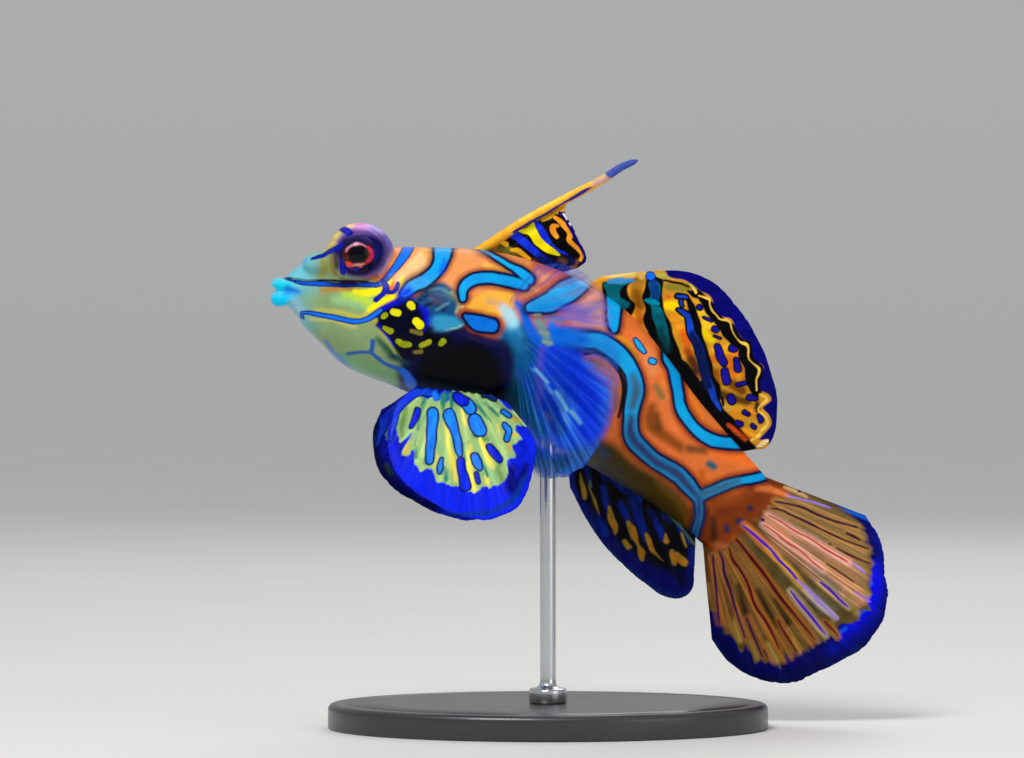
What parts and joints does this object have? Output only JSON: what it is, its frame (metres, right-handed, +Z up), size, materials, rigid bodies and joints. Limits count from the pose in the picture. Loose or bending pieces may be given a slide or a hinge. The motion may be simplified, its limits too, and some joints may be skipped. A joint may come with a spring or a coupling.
{
  "type": "mandarinfish model",
  "caption": "Life-size still model of a mandarinfish swimming head up with its fins spread, held by a thin upright rod over a flat oval base.",
  "frame": {"origin": "centre of the oval base's underside", "axes": "+Z up, -X the way the fish faces, -Y towards the fish's left side, which the picture shows"},
  "size_m": [0.0624, 0.032, 0.057],
  "materials": {
    "skin": "smooth wet skin, orange with winding blue bands",
    "eye": "clear wet gloss over a red ring and a black pupil",
    "fin": "wet ribbed membrane, royal blue margin, striped and dotted",
    "clear_fin": "wet thin clear membrane with blue rays",
    "base": "satin black",
    "rod": "polished"
  },
  "bodies": {
    "root": {"head": "skin", "trunk": "skin", "tail_stem": "skin", "eye_left": "eye", "eye_right": "eye", "first_dorsal_fin": "fin", "second_dorsal_fin": "fin", "anal_fin": "fin", "tail_fin": "fin", "pectoral_fin_left": "clear_fin", "pectoral_fin_right": "clear_fin", "pelvic_fin_left": "fin", "pelvic_fin_right": "fin", "stand_base": "base", "stand_rod": "rod"}
  },
  "joints": []
}
